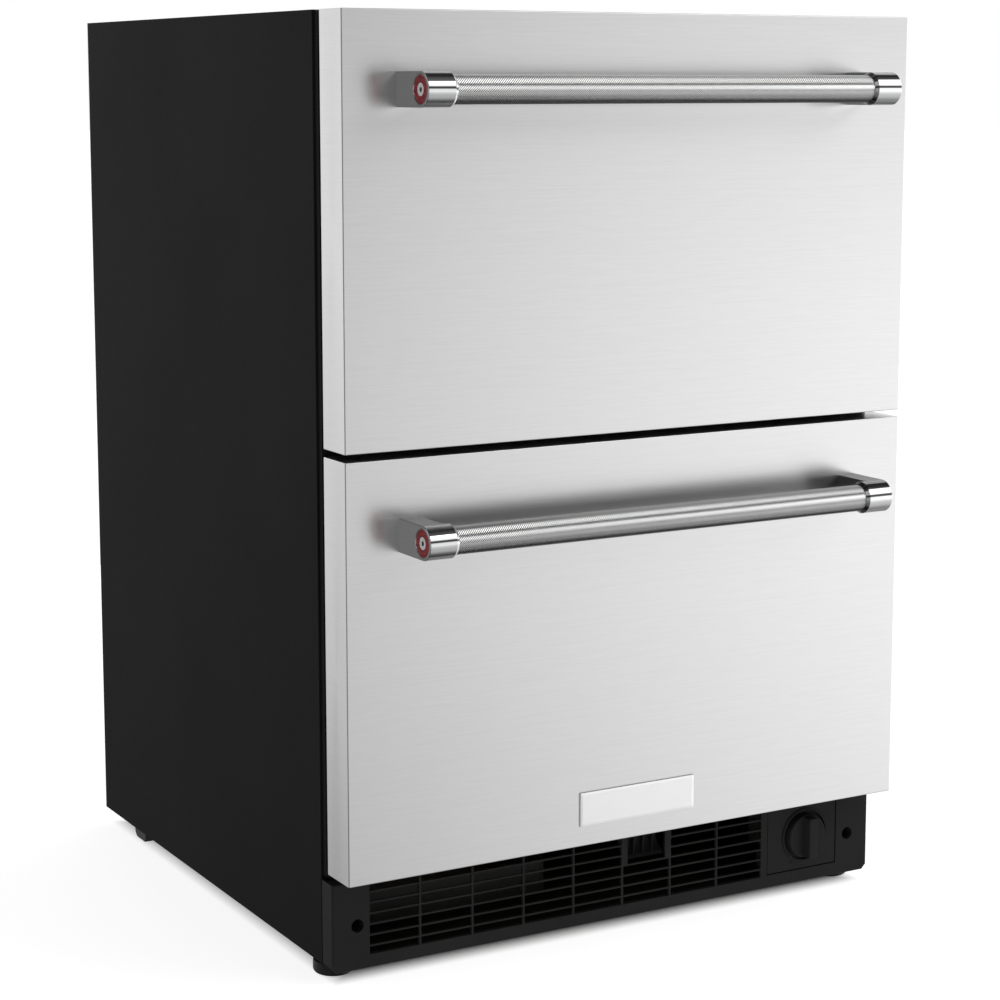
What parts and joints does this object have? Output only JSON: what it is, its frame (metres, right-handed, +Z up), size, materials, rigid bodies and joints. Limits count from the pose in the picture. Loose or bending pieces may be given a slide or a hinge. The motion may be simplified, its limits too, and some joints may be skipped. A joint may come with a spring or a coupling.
{
  "type": "under-counter drawer refrigerator",
  "caption": "Under-counter refrigerator with stacked full-width stainless drawers, knurled bar handles, black cabinet, slotted toe grille and a temperature dial.",
  "frame": {"origin": "on the floor, under the middle of the overall box", "axes": "+Z up, -Y out of the drawer fronts, +X to the right of a person facing them"},
  "size_m": [0.606, 0.6732, 0.8727],
  "materials": {
    "cabinet_paint": "satin",
    "galvanised_steel": "satin",
    "foam": "matte",
    "liner_plastic": "satin",
    "bin_plastic": "satin",
    "fin_aluminium": "satin",
    "machine_black": "gloss",
    "machine_plastic": "matte",
    "copper": "satin",
    "lamp_cover": "gloss",
    "grille_plastic": "satin",
    "foot_plastic": "satin",
    "zinc_steel": "satin",
    "brushed_stainless": "satin",
    "gasket_rubber": "matte",
    "knurled_steel": "satin",
    "handle_chrome": "polished",
    "red_enamel": "gloss",
    "badge_metal": "satin"
  },
  "bodies": {
    "cabinet": {"cabinet_side_left": "cabinet_paint", "cabinet_side_right": "cabinet_paint", "cabinet_top": "cabinet_paint", "cabinet_back": "galvanised_steel", "base_pan": "cabinet_paint", "insulation_foam": "foam", "cabinet_liner": "liner_plastic", "front_frame": "cabinet_paint", "evaporator_cover": "liner_plastic", "evaporator": "fin_aluminium", "evaporator_fan_motor": "machine_plastic", "compressor": "machine_black", "condenser": "fin_aluminium", "condenser_shroud": "machine_black", "condenser_fan_motor": "machine_plastic", "drain_pan": "machine_plastic", "refrigerant_pipes": "copper", "interior_lamps": "lamp_cover", "rear_cover": "galvanised_steel", "cord_inlet": "machine_plastic", "toe_grille": "grille_plastic", "cabinet_screws": "zinc_steel", "grille_scoop": "grille_plastic", "dial_panel": "grille_plastic", "thermostat": "machine_plastic", "rear_glides": "foot_plastic", "upper_cabinet_slides": "zinc_steel", "lower_cabinet_slides": "zinc_steel"},
    "upper_drawer": {"upper_front_skin": "brushed_stainless", "upper_front_core": "foam", "upper_inner_panel": "liner_plastic", "upper_gasket": "gasket_rubber", "upper_drawer_box": "bin_plastic", "upper_drawer_slides": "zinc_steel", "upper_handle_bar": "knurled_steel", "upper_handle_end_left": "handle_chrome", "upper_handle_end_right": "handle_chrome", "upper_handle_medallions": "red_enamel", "upper_handle_screws": "zinc_steel"},
    "upper_slide_middles": {"upper_middle_slides": "zinc_steel"},
    "lower_drawer": {"lower_front_skin": "brushed_stainless", "lower_front_core": "foam", "lower_inner_panel": "liner_plastic", "lower_gasket": "gasket_rubber", "lower_drawer_box": "bin_plastic", "lower_drawer_slides": "zinc_steel", "lower_handle_bar": "knurled_steel", "lower_handle_end_left": "handle_chrome", "lower_handle_end_right": "handle_chrome", "lower_handle_medallions": "red_enamel", "lower_handle_screws": "zinc_steel", "badge": "badge_metal"},
    "lower_slide_middles": {"lower_middle_slides": "zinc_steel"},
    "dial": {"dial_knob": "grille_plastic"},
    "evaporator_fan": {"evaporator_fan": "machine_plastic"},
    "condenser_fan": {"condenser_fan": "machine_plastic"},
    "foot_left": {"foot_left": "foot_plastic"},
    "foot_right": {"foot_right": "foot_plastic"}
  },
  "joints": [
    {"name": "upper_drawer_slide", "type": "slide", "parent": "cabinet", "child": "upper_drawer", "axis": [0, -1, 0], "range_m": [0, 0.4]},
    {"name": "upper_middle_slide", "type": "slide", "parent": "cabinet", "child": "upper_slide_middles", "axis": [0, -1, 0], "range_m": [0, 0.2]},
    {"name": "lower_drawer_slide", "type": "slide", "parent": "cabinet", "child": "lower_drawer", "axis": [0, -1, 0], "range_m": [0, 0.4]},
    {"name": "lower_middle_slide", "type": "slide", "parent": "cabinet", "child": "lower_slide_middles", "axis": [0, -1, 0], "range_m": [0, 0.2]},
    {"name": "dial_turn", "type": "hinge", "parent": "cabinet", "child": "dial", "pos_m": [0.224, -0.23788, 0.06], "axis": [0, 1, 0], "range_deg": [-150, 150]},
    {"name": "evaporator_fan_spin", "type": "hinge", "parent": "cabinet", "child": "evaporator_fan", "pos_m": [0, 0.23713, 0.775], "axis": [0, 1, 0], "continuous": true},
    {"name": "condenser_fan_spin", "type": "hinge", "parent": "cabinet", "child": "condenser_fan", "pos_m": [0.145, 0.18013, 0.14], "axis": [0, 1, 0], "continuous": true},
    {"name": "foot_left_turn", "type": "hinge", "parent": "cabinet", "child": "foot_left", "pos_m": [-0.284, -0.20488, 0], "axis": [0, 0, 1], "continuous": true},
    {"name": "foot_right_turn", "type": "hinge", "parent": "cabinet", "child": "foot_right", "pos_m": [0.284, -0.20488, 0], "axis": [0, 0, 1], "continuous": true}
  ],
  "couplings": [
    {"joint": "upper_middle_slide", "follows": "upper_drawer_slide", "ratio": 0.5},
    {"joint": "lower_middle_slide", "follows": "lower_drawer_slide", "ratio": 0.5}
  ]
}
